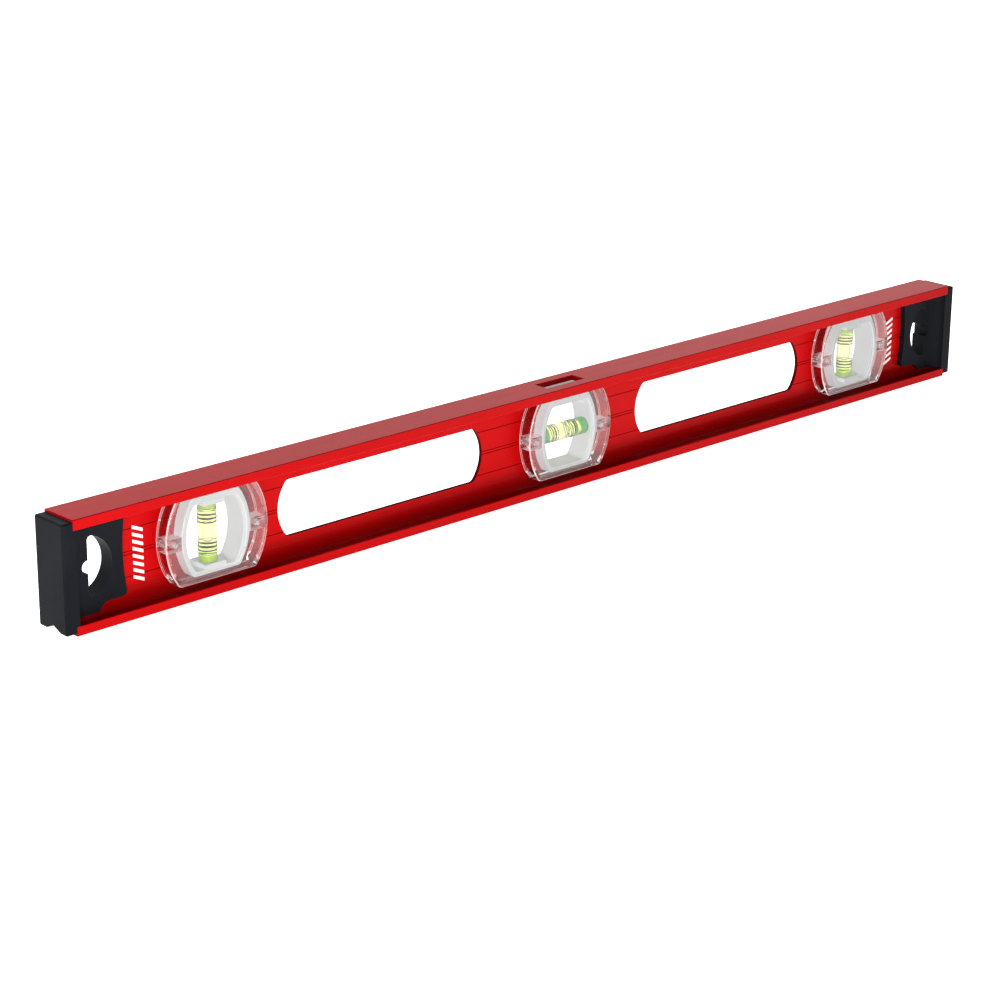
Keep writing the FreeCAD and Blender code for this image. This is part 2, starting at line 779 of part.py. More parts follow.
def cut_tunnel(holder, side):
    half_height = size("opening_height") / 2
    bottom = size("middle_height") - half_height
    top = size("middle_height") + half_height
    bulge = size("opening_bulge")
    sketch = make_sketch(holder, "tunnel", "XZ_Plane")
    draw_barrel(sketch, ZERO, size("opening_half"), bottom, top, bulge)
    pocket = extrude(holder, "Pocket", "tunnel_cut", sketch, size("holder_front"), reverse=side < 0)
    corners = barrel_corners(ZERO, size("opening_half"), bottom, top, bulge)
    rounded = round_corners(holder, "tunnel_corners", pocket, corners, size("opening_corner"))
    land = lies_at("Y", (size("holder_front") - size("recess_depth")) * side)

    def at_mouth(box):
        inside_width = max(-box.XMin, box.XMax) < size("opening_half").value + NEAR
        inside_height = box.ZMin > bottom.value - NEAR and box.ZMax < top.value + NEAR
        return land(box) and inside_width and inside_height

    soften(holder, "Chamfer", "mouth", rounded, size("opening_bevel"), at_mouth)


def add_seats(holder, side):
    """The two low blocks, on the tunnel's floor and under its ceiling, that an upright vial stands in."""
    half = size("seat_half")
    height = size("seat_height") + size("fit_gap")
    floor = size("middle_height") - size("opening_height") / 2 - size("fit_gap")
    ceiling = size("middle_height") + size("opening_height") / 2 - size("seat_height")
    for word, level in (("lower", floor), ("upper", ceiling)):
        sketch = make_sketch(holder, word + "_seat", "XY_Plane", level)
        if side < 0:
            draw_box(sketch, -half, -half, half, ZERO)
        else:
            draw_box(sketch, -half, ZERO, half, half)
        extrude(holder, "Pad", word + "_seat_pad", sketch, height)


def cut_vial_grip(holder, upright):
    """Cuts the half-round grooves that grip the ends of the vial."""
    radius = size("tube_radius") + size("liquid_gap")
    length = size("tube_length") + size("fit_gap")
    if upright:
        grip = make_sketch(holder, "grip", "XY_Plane", size("middle_height"))
        draw_circle(grip, ZERO, ZERO, radius)
    else:
        grip = make_sketch(holder, "grip", "YZ_Plane")
        draw_circle(grip, ZERO, size("middle_height"), radius)
    extrude(holder, "Pocket", "grip_cut", grip, length, symmetric=True)


def make_pins(doc, name, x):
    """The two pins that join the front and the back cover through the web."""
    pins = make_body(doc, name, x)
    length = (size("cover_front") - size("cover_plate") - size("fit_gap")) * 2
    sketch = make_sketch(pins, "pins", "XZ_Plane")
    for direction in (-1, 1):
        place = (size("pin_offset") * direction, size("middle_height"))
        draw_circle(sketch, *place, size("pin_radius"))
    extrude(pins, "Pad", "pin_pad", sketch, length, symmetric=True)
    return pins


# The vials, each modelled upright about its own middle.


def make_tube(doc, name, x, z, rotation):
    tube = make_body(doc, name, x, z, rotation)
    half = size("tube_length") / 2
    bore, outside = size("bore_end_radius"), size("tube_radius")
    bulge = size("bore_middle_radius") - bore
    sketch = make_sketch(tube, "profile", "XZ_Plane")
    draw_outline(sketch, [(bore, -half), (outside, -half), (outside, half), (bore, half, -bulge)])
    revolve(tube, "turn", sketch)
    return tube


def make_liquid(doc, name, x, z, rotation):
    """The liquid between the plugs, round the channel that the bubble travels in."""
    liquid = make_body(doc, name, x, z, rotation)
    gap = size("liquid_gap")
    half = size("tube_length") / 2 - size("plug_length") - gap
    outside = size("bore_end_radius") - gap
    bulge = size("bore_middle_radius") - size("bore_end_radius")
    channel = size("channel_radius")
    sketch = make_sketch(liquid, "profile", "XZ_Plane")
    draw_outline(sketch, [(channel, -half), (outside, -half, bulge), (outside, half), (channel, half)])
    revolve(liquid, "turn", sketch)
    return liquid


def make_plug(doc, name, x, z, rotation, end):
    """The plug in the lower (-1) or the upper (1) end of a vial."""
    plug = make_body(doc, name, x, z, rotation)
    half = size("tube_length") / 2
    low = half * end if end < 0 else half - size("plug_length")
    sketch = make_sketch(plug, "profile", "XZ_Plane")
    draw_box(sketch, ZERO, low, size("bore_end_radius") - size("liquid_gap"), low + size("plug_length"))
    revolve(plug, "turn", sketch)
    return plug


def make_gauge_lines(doc, name, x, z, rotation):
    """Two groups of three bands round the tube, each thin, thick and medium from the top down. The
    bubble is level between the groups."""
    lines = make_body(doc, name, x, z, rotation)
    inside = size("tube_radius") + size("band_gap")
    outside = inside + size("band_depth")
    inner = size("band_inner")
    outer = inner + size("band_pitch") * 2
    sketch = make_sketch(lines, "profile", "XZ_Plane")
    for highest in (outer, -inner):
        for count, width in enumerate(("band_thin", "band_thick", "band_medium")):
            height = highest - size("band_pitch") * count
            half_width = size(width) / 2
            draw_box(sketch, inside, height - half_width, outside, height + half_width)
    revolve(lines, "turn", sketch)
    return lines


def make_bubble(doc, name, x, z, rotation):
    bubble = make_body(doc, name, x, z, rotation)
    radius = size("bubble_radius")
    tip = size("bubble_length") / 2
    shoulder = tip - radius
    rise = radius * (math.sqrt(2) - 1) / math.sqrt(2)
    sketch = make_sketch(bubble, "profile", "XZ_Plane")
    draw_outline(sketch, [(ZERO, -tip, rise), (radius, -shoulder), (radius, shoulder, rise), (ZERO, tip)])
    revolve(bubble, "turn", sketch)
    return bubble


def make_vial(doc, station, x, upright):
    rotation = Rotation() if upright else Rotation(Vector(0, 1, 0), 90)
    place = (x, size("middle_height"), rotation)
    ends = ("lower", "upper") if upright else ("left", "right")
    pieces = [
        make_tube(doc, station + "_vial_tube", *place),
        make_liquid(doc, station + "_vial_liquid", *place),
        make_gauge_lines(doc, station + "_gauge_lines", *place),
        make_bubble(doc, station + "_bubble", *place),
    ]
    for end, word in zip((-1, 1), ends):
        pieces.append(make_plug(doc, station + "_" + word + "_plug", *place, end))
    return pieces


def make_station(doc, station, position, upright):
    """Everything at one vial window. position is -1, 0 or 1 from left to right."""
    x = size("station_spacing") * position if position else ZERO
    under_sight = position == 0
    pieces = []
    for side, word in ((-1, "front"), (1, "back")):
        pieces.append(make_cover(doc, station + "_" + word + "_cover", x, side, under_sight))
        holder_name = station + "_" + word + "_holder"
        pieces.append(make_holder(doc, holder_name, x, side, upright, under_sight))
    pieces.append(make_pins(doc, station + "_joining_pins", x))
    return pieces + make_vial(doc, station, x, upright)


# Checking and writing.


def check(doc, pieces):
    for item in doc.Objects:
        if "Invalid" in item.State or "Error" in item.State:
            raise RuntimeError(item.Name + " did not compute")
    for piece in pieces:
        if piece.Shape.isNull() or not piece.Shape.isValid() or not piece.Shape.Solids:
            raise RuntimeError(piece.Name + " has no valid solid")


def main():
    doc = FreeCAD.newDocument("spirit_level")
    make_sheet(doc)
    pieces = [make_beam(doc), make_cap(doc, "left_end_cap", -1), make_cap(doc, "right_end_cap", 1)]
    pieces += make_station(doc, "left_plumb", -1, upright=True)
    pieces += make_station(doc, "centre_level", 0, upright=False)
    pieces += make_station(doc, "right_plumb", 1, upright=True)
    doc.recompute()
    check(doc, pieces)
    os.makedirs("parts", exist_ok=True)
    for piece in pieces:
        piece.Label = piece.Name
        piece.Shape.exportStep(os.path.join("parts", piece.Label + ".step"))
        print(piece.Label, len(piece.Shape.Solids), "solid(s),", round(piece.Shape.Volume, 1), "mm3")


main()
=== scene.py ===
"""The looks of the spirit level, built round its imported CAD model.

+X runs along the beam, -Y is the front and +Z is up, in metres.
"""

import math

import bmesh
import bpy
from mathutils import Matrix, Vector


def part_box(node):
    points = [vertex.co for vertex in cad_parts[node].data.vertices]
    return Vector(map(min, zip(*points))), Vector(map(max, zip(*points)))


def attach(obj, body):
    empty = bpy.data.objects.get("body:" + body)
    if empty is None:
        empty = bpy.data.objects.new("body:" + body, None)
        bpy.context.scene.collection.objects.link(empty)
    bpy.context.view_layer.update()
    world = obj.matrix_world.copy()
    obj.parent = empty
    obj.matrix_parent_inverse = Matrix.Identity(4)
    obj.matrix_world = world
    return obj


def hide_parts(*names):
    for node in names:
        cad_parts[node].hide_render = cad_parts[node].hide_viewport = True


MM = 0.001

# Each vial station's moving body, its vial's axis and the ends that its plugs are named after.
STATIONS = {
    "left_plumb": ("left_bubble", "Z", ("lower", "upper")),
    "centre_level": ("centre_bubble", "X", ("left", "right")),
    "right_plumb": ("right_bubble", "Z", ("lower", "upper")),
}

# Zones of the covers, as distances from the web's middle plane and from each vial's middle: the foot
# on the web, the rounding of the front edge, the lens's inside and the bosses round the pins.
COVER_FOOT = 1.4 * MM
COVER_EDGE = 7.85 * MM
COVER_LENS_INSIDE = 7.05 * MM
BOSS_HALF_HEIGHT = 3.25 * MM
BOSS_REACH = 26.5 * MM

# A surface that faces the front more squarely than this is flat, not part of the rounding.
FLAT_FACING = 0.93
COVER_TINT = (0.93, 0.925, 0.925, 1)

# The vials' bore is a slight barrel: its radius in the middle, and how much less it is at the ends.
BORE_RADIUS = 3.55 * MM
BORE_BARREL = 0.25 * MM
BORE_STEPS = 24

# How far a piece reaches into the one that it touches, so that no gap shows.
OVERLAP = 0.03 * MM

# The liquid's tint is spread over this distance from the vial's middle, and wanders by the swirl.
TINT_REACH = 16.5 * MM
TINT_SWIRL = 1.2 * MM

# The bubble's outline is a sine raised to the power of the bluntness, below 1 for blunt ends.
BUBBLE_STEPS = 28
BUBBLE_BLUNTNESS = 0.62

# Zones of the beam: the web with its cut edges, the channel between the flanges, and the long
# rounding of the top's edges. The coat's painted shade by height is placed as shares of the shade
# height.
SHADE_HEIGHT = 100 * MM
HALF_WEB = 0.99 * MM
WEB_FOOT = 12.5 * MM
WEB_HEAD = 50.0 * MM
CHANNEL_REACH = 10.2 * MM
EDGE_SIDE = 10.25 * MM
EDGE_LEVEL = 52.75 * MM

# The generic print on the web: slanted bars near both ends, from the lowest one up.
WEB_FACE = 1.0 * MM
PRINT_PROUD = 0.05 * MM
PRINT_SPAN = (256.7 * MM, 262.3 * MM)
PRINT_FIRST = 12.5 * MM
PRINT_PITCH = 3.3 * MM
PRINT_THICKNESS = 1.5 * MM
PRINT_COUNT = 8
PRINT_SLANT = 2.4 * MM

# The index of the air in a bubble as seen from the liquid. The true 0.74 outlines it too harshly.
BUBBLE_IOR = 0.88

# The camera that matches the photograph.
CAMERA_PLACE = (-0.90303, -0.90931, 0.42883)
CAMERA_YAW = 43.492
CAMERA_PITCH = 18.890
CAMERA_ROLL = 0.4226
CAMERA_LENS = 96.44
CAMERA_SENSOR = 36

# The floor lies just under the level's base, so that the two faces don't coincide.
FLOOR_HALF = 12.0
FLOOR_DROP = 0.2 * MM

# Each lamp's name, place, target, size and power, and whether reflections and glass show it.
LAMPS = (
    ("front_left_softbox", (-0.78, -0.80, 0.10), (-0.15, 0, 0.02), (0.5, 0.35), 11.0, True),
    ("low_front_strip", (-0.15, -0.20, 0.0005), (-0.15, -0.20, 1.0), (0.85, 0.30), 1.2, False),
    ("overhead_strip", (-0.10, 0.0, 1.2), (-0.10, 0.0, 0.0), (1.2, 0.20), 6.0, False),
)

# Light passes through many thin walls of acrylic on its way to a vial and back.
BOUNCES = 24


# Materials.


class Material:
    """A node material under construction."""

    def __init__(self, name):
        self.data = bpy.data.materials.new(name)
        self.data.use_nodes = True
        self.tree = self.data.node_tree
        self.tree.nodes.clear()

    def node(self, kind, inputs=None, **settings):
        """Adds a node. Each input is a plain value or another node's output socket."""
        made = self.tree.nodes.new("ShaderNode" + kind)
        for key, value in settings.items():
            setattr(made, key, value)
        for key, value in (inputs or {}).items():
            if isinstance(value, bpy.types.NodeSocket):
                self.tree.links.new(value, made.inputs[key])
            else:
                made.inputs[key].default_value = value
        return made

    def place(self, scale=(1, 1, 1)):
        """The piece's own coordinates in metres, stretched by scale."""
        coordinates = self.node("TexCoord")
        inputs = {"Vector": coordinates.outputs["Object"], "Scale": scale}
        return self.node("Mapping", inputs).outputs[0]

    def noise(self, scale, stretch=(1, 1, 1), detail=3.0, roughness=0.5):
        """Fixed noise from 0 to 1, with scale in periods per metre."""
        inputs = {
            "Vector": self.place(stretch), "Scale": scale, "Detail": detail, "Roughness": roughness}
        return self.node("TexNoise", inputs).outputs["Fac"]

    def ramp(self, factor, *stops):
        """Maps a factor through (position, colour or grey) stops."""
        made = self.node("ValToRGB", {"Fac": factor})
        elements = made.color_ramp.elements
        while len(elements) < len(stops):
            elements.new(0.5)
        for element, (position, colour) in zip(elements, stops):
            element.position = position
            element.color = (*colour, 1) if isinstance(colour, tuple) else grey(colour)
        return made.outputs["Color"]

    def math(self, operation, first, second=0.0, clamp=False):
        inputs = {0: first, 1: second}
        return self.node("Math", inputs, operation=operation, use_clamp=clamp).outputs[0]

    def mix(self, factor, first, second, blend="MIX"):
        inputs = {"Factor": factor, 6: first, 7: second}
        return self.node("Mix", inputs, data_type="RGBA", blend_type=blend).outputs[2]

    def bump(self, height, strength, distance, normal=None):
        inputs = {"Height": height, "Strength": strength, "Distance": distance}
        if normal is not None:
            inputs["Normal"] = normal
        return self.node("Bump", inputs).outputs["Normal"]

    def principled(self, **inputs):
        """Adds the main shader. In the inputs' names an underscore stands for a space."""
        named = {key.replace("_", " "): value for key, value in inputs.items()}
        return self.node("BsdfPrincipled", named)

    def finish(self, shader):
        self.node("OutputMaterial", {"Surface": shader.outputs[0]})
        return self.data

    def lit_through(self, glass, tint):
        """Finishes a glass that lets the lamps through, tinted, so that what is inside is lit."""
        path = self.node("LightPath")
        clear = self.node("BsdfTransparent", {"Color": tint})
        inputs = {"Fac": path.outputs["Is Shadow Ray"], 1: glass.outputs[0], 2: clear.outputs[0]}
        return self.finish(self.node("MixShader", inputs))


def grey(value):
    return (value, value, value, 1)


def red_coat():
    """Coloured coat on extruded aluminium: fine die lines along the beam under a smooth film. Painted
    shade darkens it a little towards the top, in the channel's corner and along the rounding of the
    top, and it is dark on the web's cut edges."""
    made = Material("red_coat")
    cloud = made.noise(9.0, detail=4.0)
    grain = made.noise(1.0, (12, 2600, 2600), detail=4.0, roughness=0.6)
    film = made.noise(1500.0, detail=2.0)
    colour = made.ramp(cloud, (0.3, (0.40, 0.0012, 0.0018)), (0.7, (0.46, 0.002, 0.0028)))
    streaks = made.ramp(grain, (0.3, 0.93), (0.7, 1.0))
    colour = made.mix(1.0, colour, streaks, "MULTIPLY")
    roughness = made.ramp(grain, (0.25, 0.30), (0.75, 0.42))
    place = made.node("SeparateXYZ", {0: made.place()}).outputs
    across = made.math("ABSOLUTE", place["Y"])
    height = made.math("DIVIDE", place["Z"], SHADE_HEIGHT)
    # Painted shade: the coat darkens towards the top, to even out the stronger light there.
    painted_top_shade = made.ramp(height, (0.28, 1.0), (0.50, 0.82))
    colour = made.mix(1.0, colour, painted_top_shade, "MULTIPLY")
    # Painted shade: the channel's corner between the web and the base flange is darkened, where shade
    # falls.
    corner = made.ramp(height, (0.06, 0.50), (0.11, 0.72), (0.15, 1.0))
    channel_with_painted_shade = made.mix(1.0, colour, corner, "MULTIPLY")
    colour = made.mix(made.math("LESS_THAN", across, CHANNEL_REACH), colour, channel_with_painted_shade)
    cut = made.math("LESS_THAN", across, HALF_WEB)
    cut = made.math("MULTIPLY", cut, made.math("GREATER_THAN", place["Z"], WEB_FOOT))
    cut = made.math("MULTIPLY", cut, made.math("LESS_THAN", place["Z"], WEB_HEAD))
    # Painted shade along the rounding of the top's edges; the web's cut edges get the same dark colour
    # and a rough finish.
    painted_edge_shade = made.math("GREATER_THAN", across, EDGE_SIDE)
    painted_edge_shade = made.math("MULTIPLY", painted_edge_shade, made.math("GREATER_THAN", place["Z"], EDGE_LEVEL))
    colour = made.mix(made.math("MAXIMUM", cut, painted_edge_shade), colour, (0.06, 0.0008, 0.001, 1))
    roughness = made.mix(cut, roughness, grey(0.95))
    normal = made.bump(grain, 0.10, 0.00006)
    normal = made.bump(film, 0.06, 0.00005, normal)
    shader = made.principled(
        Base_Color=colour, Roughness=roughness, Normal=normal, IOR=1.14,
        Specular_Tint=(1.0, 0.3, 0.3, 1))
    return made.finish(shader)


def cap_plastic():
    """Charcoal moulded plastic with a fine spark-eroded grain."""
    made = Material("cap_plastic")
    cloud = made.noise(45.0, detail=4.0)
    grain = made.noise(2600.0, detail=3.0, roughness=0.7)
    colour = made.ramp(cloud, (0.3, (0.0050, 0.0056, 0.0078)), (0.7, (0.0072, 0.0078, 0.0102)))
    roughness = made.ramp(grain, (0.3, 0.42), (0.7, 0.56))
    normal = made.bump(grain, 0.25, 0.00008)
    shader = made.principled(Base_Color=colour, Roughness=roughness, Normal=normal, IOR=1.12)
    return made.finish(shader)


def white_plastic():
    """Satin white moulding with a faint mould-flow shading and a painted glow that lifts its shaded
    walls.
    """
    made = Material("holder_plastic")
    cloud = made.noise(60.0, detail=3.0)
    grain = made.noise(1800.0, detail=2.0)
    colour = made.ramp(cloud, (0.3, (0.76, 0.775, 0.775)), (0.7, (0.82, 0.83, 0.83)))
    roughness = made.ramp(grain, (0.3, 0.34), (0.7, 0.46))
    normal = made.bump(grain, 0.10, 0.00005)
    # The emission is a painted glow that brightens the holders' shaded walls.
    shader = made.principled(
        Base_Color=colour, Roughness=roughness, Normal=normal, IOR=1.3,
        Emission_Color=colour, Emission_Strength=0.20)
    return made.finish(shader)


def clear_acrylic(name, colour, wave_scale, wave_strength, roughest):
    """Polished clear acrylic: slightly wavy, as a moulding is."""
    made = Material(name)
    wave = made.noise(wave_scale, (1, 1, 0.35), detail=2.0)
    smear = made.noise(220.0, detail=4.0)
    roughness = made.ramp(smear, (0.35, 0.0), (0.75, roughest))
    normal = made.bump(wave, wave_strength, 0.0004)
    shader = made.principled(
        Base_Color=colour, Roughness=roughness, Normal=normal, IOR=1.49, Transmission_Weight=1.0)
    return made.lit_through(shader, colour)


def cover_acrylic(station):
    """The covers: clear, but frosted along the foot on the web and on the bosses round the pins, with
    painted highlights glowing along the foot and the rounded front edge, and painted glints on the
    bosses. The given station's middle tells the pitch of the three stations, and their height."""
    made = Material("cover_acrylic")
    wave = made.noise(110.0, (1, 1, 0.3), detail=2.0)
    crystal = made.noise(900.0, detail=3.0, roughness=0.7)
    smear = made.noise(220.0, detail=4.0)
    place = made.node("SeparateXYZ", {0: made.place()}).outputs
    across = made.math("ABSOLUTE", place["Y"])
    wrapped = made.node("Math", {0: place["X"], 1: station.x / 2, 2: -station.x / 2}, operation="WRAP")
    along = made.math("ABSOLUTE", wrapped.outputs[0])
    height = made.math("ABSOLUTE", made.math("SUBTRACT", place["Z"], station.z))
    boss = made.math("LESS_THAN", height, BOSS_HALF_HEIGHT)
    boss = made.math("MULTIPLY", boss, made.math("LESS_THAN", along, BOSS_REACH))
    boss = made.math("MULTIPLY", boss, made.math("LESS_THAN", across, COVER_LENS_INSIDE))
    foot = made.math("LESS_THAN", across, COVER_FOOT)
    facing = made.node("SeparateXYZ", {0: made.node("TexCoord").outputs["Normal"]}).outputs["Y"]
    rounded = made.math("LESS_THAN", made.math("ABSOLUTE", facing), FLAT_FACING)
    rim = made.math("MULTIPLY", rounded, made.math("GREATER_THAN", across, COVER_EDGE))
    # Painted highlights: the emission lights up the foot and the rounded front edge, and glints on the
    # bosses.
    painted_highlight = made.mix(foot, (0, 0, 0, 1), (0.50, 0.36, 0.36, 1))
    painted_highlight = made.mix(rim, painted_highlight, (0.75, 0.62, 0.62, 1))
    painted_glints = made.ramp(crystal, (0.35, (0.02, 0.01, 0.01)), (0.65, (0.35, 0.30, 0.30)))
    painted_highlight = made.mix(boss, painted_highlight, painted_glints)
    clear = made.ramp(smear, (0.35, 0.0), (0.75, 0.05))
    roughness = made.mix(boss, clear, grey(0.32))
    roughness = made.mix(foot, roughness, grey(0.6))
    frost = made.ramp(crystal, (0.35, (0.62, 0.56, 0.56)), (0.65, (0.98, 0.96, 0.95)))
    colour = made.mix(boss, COVER_TINT, frost)
    colour = made.mix(foot, colour, (1.0, 0.95, 0.95, 1))
    normal = made.bump(wave, 0.12, 0.0004)
    normal = made.bump(made.math("MULTIPLY", crystal, boss), 0.9, 0.0006, normal)
    shader = made.principled(
        Base_Color=colour, Roughness=roughness, Normal=normal, IOR=1.45, Transmission_Weight=1.0,
        Emission_Color=painted_highlight, Emission_Strength=0.8)
    return made.lit_through(shader, COVER_TINT)


def liquid(name, axis):
    """Yellow-green spirit. The tint deepens towards both ends of the vial and pales in the middle."""
    made = Material(name)
    coordinates = made.node("TexCoord")
    along = made.node("SeparateXYZ", {0: coordinates.outputs["Object"]}).outputs[axis]
    distance = made.math("ABSOLUTE", along)
    swirl = made.noise(260.0, detail=3.0)
    distance = made.math("ADD", distance, made.math("MULTIPLY", swirl, TINT_SWIRL))
    share = made.math("DIVIDE", distance, TINT_REACH, clamp=True)
    tint = made.ramp(
        share,
        (0.0, (0.80, 0.82, 0.52)),
        (0.25, (0.77, 0.81, 0.44)),
        (0.50, (0.66, 0.73, 0.24)),
        (0.66, (0.68, 0.78, 0.20)),
        (0.70, (0.52, 0.70, 0.10)),
    )
    shader = made.principled(Base_Color=tint, Roughness=0.0, IOR=1.36, Transmission_Weight=1.0)
    return made.lit_through(shader, (0.80, 0.88, 0.45, 1))


def bubble_air():
    """The bubble: seen from the liquid, air bends light the other way. It has a faint painted glow."""
    made = Material("bubble_air")
    swirl = made.noise(500.0, detail=2.0)
    tint = made.ramp(swirl, (0.2, (0.86, 0.88, 0.66)), (0.8, (0.92, 0.93, 0.76)))
    # The faint emission is a painted glow in the bubble.
    shader = made.principled(
        Base_Color=tint, Roughness=0.0, IOR=BUBBLE_IOR, Transmission_Weight=1.0,
        Emission_Color=tint, Emission_Strength=0.08)
    return made.lit_through(shader, (1, 1, 1, 1))


def gauge_ink():
    """Dark ink printed round the tube."""
    made = Material("gauge_ink")
    cloud = made.noise(900.0, detail=3.0)
    colour = made.ramp(cloud, (0.3, (0.008, 0.012, 0.002)), (0.7, (0.02, 0.028, 0.004)))
    return made.finish(made.principled(Base_Color=colour, Roughness=0.6, IOR=1.2))


def plug_plastic(name, light, deep):
    """Coloured translucent plug, seen through the tube, with a little painted glow."""
    made = Material(name)
    cloud = made.noise(300.0, detail=3.0)
    colour = made.ramp(cloud, (0.3, deep), (0.7, light))
    roughness = made.ramp(cloud, (0.3, 0.25), (0.7, 0.4))
    # The emission is a painted glow.
    shader = made.principled(
        Base_Color=colour, Roughness=roughness, IOR=1.2, Emission_Color=colour, Emission_Strength=0.2)
    return made.finish(shader)


def print_white():
    """White paint printed on the web."""
    made = Material("print_white")
    cloud = made.noise(1200.0, detail=3.0)
    colour = made.ramp(cloud, (0.3, (0.80, 0.78, 0.78)), (0.7, (0.88, 0.86, 0.86)))
    return made.finish(made.principled(Base_Color=colour, Roughness=0.5))


def middle(node):
    """The middle of a CAD node's box at rest."""
    low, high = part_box(node)
    return (low + high) / 2


def dress(node, material):
    """Gives a CAD node this material."""
    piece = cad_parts[node]
    piece.data.materials.clear()
    piece.data.materials.append(material)


# Pieces.


def add_piece(name, mesh_maker, material, body):
    """A new piece: mesh_maker fills a bmesh in the frame's coordinates."""
    mesh = bpy.data.meshes.new(name)
    shape = bmesh.new()
    mesh_maker(shape)
    bmesh.ops.recalc_face_normals(shape, faces=shape.faces)
    shape.to_mesh(mesh)
    shape.free()
    mesh.materials.append(material)
    piece = bpy.data.objects.new(name, mesh)
    bpy.context.scene.collection.objects.link(piece)
    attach(piece, body)
    return piece


def lathe(shape, profile, steps=64):
    """Turns a closed (radius, height) profile, from axis to axis, about Z."""
    rings = []
    for radius, height in profile:
        if radius == 0:
            rings.append([shape.verts.new((0, 0, height))])
            continue
        ring = []
        for step in range(steps):
            angle = 2 * math.pi * step / steps
            corner = (radius * math.cos(angle), radius * math.sin(angle), height)
            ring.append(shape.verts.new(corner))
        rings.append(ring)
    for lower, upper in zip(rings, rings[1:]):
        for step in range(steps):
            after = (step + 1) % steps
            corners = [lower[step % len(lower)], lower[after % len(lower)],
                       upper[after % len(upper)], upper[step % len(upper)]]
            shape.faces.new(list(dict.fromkeys(corners)))
    for face in shape.faces:
        face.smooth = True


def fill_bore(station, node, name, material):
    """A piece that fills a vial's bore from one end of a CAD node to the other, in the node's
    place. It overlaps the tube's wall by a hair, so that no air shows between them."""
    axis = STATIONS[station][1]
    along = "XYZ".index(axis)
    low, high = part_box(node)
    tube_low, tube_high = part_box(station + "_vial_tube")
    centre = (tube_low + tube_high) / 2
    half = (tube_high - tube_low)[along] / 2
    start, finish = (low - centre)[along], (high - centre)[along]

    def turn(shape):
        profile = [(0, start)]
        for step in range(BORE_STEPS + 1):
            height = start + (finish - start) * step / BORE_STEPS
            radius = BORE_RADIUS + OVERLAP - BORE_BARREL * (height / half) ** 2
            profile.append((radius, height))
        lathe(shape, profile + [(0, finish)])

    piece = add_piece(name, turn, material, "level")
    if axis == "X":
        piece.data.transform(Matrix.Rotation(math.pi / 2, 4, "Y"))
    piece.location = centre
    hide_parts(node)


def air_bubble(station, axis, body, material):
    """The bubble, widest in the middle and blunt at both ends."""
    low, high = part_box(station + "_bubble")
    centre = (low + high) / 2
    half = (high - low)["XYZ".index(axis)] / 2
    radius = (high - low).y / 2

    def turn(shape):
        profile = [(0, -half)]
        for step in range(1, BUBBLE_STEPS):
            angle = math.pi * step / BUBBLE_STEPS
            bulge = radius * math.sin(angle) ** BUBBLE_BLUNTNESS
            profile.append((bulge, -half * math.cos(angle)))
        lathe(shape, profile + [(0, half)])

    piece = add_piece(station + "_air_bubble", turn, material, body)
    if axis == "X":
        piece.data.transform(Matrix.Rotation(math.pi / 2, 4, "Y"))
    piece.location = centre
    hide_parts(station + "_bubble")


def add_print(name, side, face, material):
    """Slanted bars printed on the web near one end. Side is -1 on the left and 1 on the right, and
    face is -1 on the front and 1 on the back."""
    inner, outer = PRINT_SPAN
    levels = (WEB_FACE - OVERLAP) * face, (WEB_FACE + PRINT_PROUD) * face

    def bars(shape):
        for bar in range(PRINT_COUNT):
            bottom = PRINT_FIRST + bar * PRINT_PITCH
            top = bottom + PRINT_THICKNESS
            low_end, high_end = bottom + PRINT_SLANT, top + PRINT_SLANT
            corners = [(inner, bottom), (outer, low_end), (outer, high_end), (inner, top)]
            near, far = ([shape.verts.new((x * side, y, z)) for x, z in corners] for y in levels)
            shape.faces.new(near)
            shape.faces.new(far)
            for corner in range(4):
                after = (corner + 1) % 4
                shape.faces.new((near[corner], near[after], far[after], far[corner]))

    add_piece(name, bars, material, "level")


# The stage.


def add_camera():
    """The camera, turned by a yaw from +Y to +X, a pitch down and a small roll."""
    yaw, pitch, roll = (math.radians(turn) for turn in (CAMERA_YAW, CAMERA_PITCH, CAMERA_ROLL))
    level = math.cos(pitch)
    ahead = Vector((math.sin(yaw) * level, math.cos(yaw) * level, -math.sin(pitch)))
    right = ahead.cross(Vector((0, 0, 1))).normalized()
    up = right.cross(ahead)
    turned_right = right * math.cos(roll) + up * math.sin(roll)
    turned_up = up * math.cos(roll) - right * math.sin(roll)
    data = bpy.data.cameras.new("camera")
    data.lens = CAMERA_LENS
    data.sensor_width = CAMERA_SENSOR
    data.clip_start = 0.05
    data.clip_end = 60
    camera = bpy.data.objects.new("camera", data)
    bpy.context.scene.collection.objects.link(camera)
    camera.matrix_world = Matrix((turned_right, turned_up, -ahead)).transposed().to_4x4()
    camera.location = CAMERA_PLACE
    bpy.context.scene.camera = camera


def add_floor():
    """The large pale floor that the level stands on."""
    made = Material("floor_white")
    soft = made.noise(3.0, detail=2.0)
    colour = made.ramp(soft, (0.0, 0.80), (1.0, 0.82))
    shader = made.principled(
        Base_Color=colour, Roughness=0.9, Emission_Color=grey(1), Emission_Strength=1.15)
    shader.inputs["Specular IOR Level"].default_value = 0.0
    mesh = bpy.data.meshes.new("floor")
    half = FLOOR_HALF
    corners = [(-half, -half, 0), (half, -half, 0), (half, half, 0), (-half, half, 0)]
    mesh.from_pydata(corners, [], [(0, 1, 2, 3)])
    mesh.materials.append(made.finish(shader))
    floor = bpy.data.objects.new("floor", mesh)
    floor.location.z = -FLOOR_DROP
    bpy.context.scene.collection.objects.link(floor)


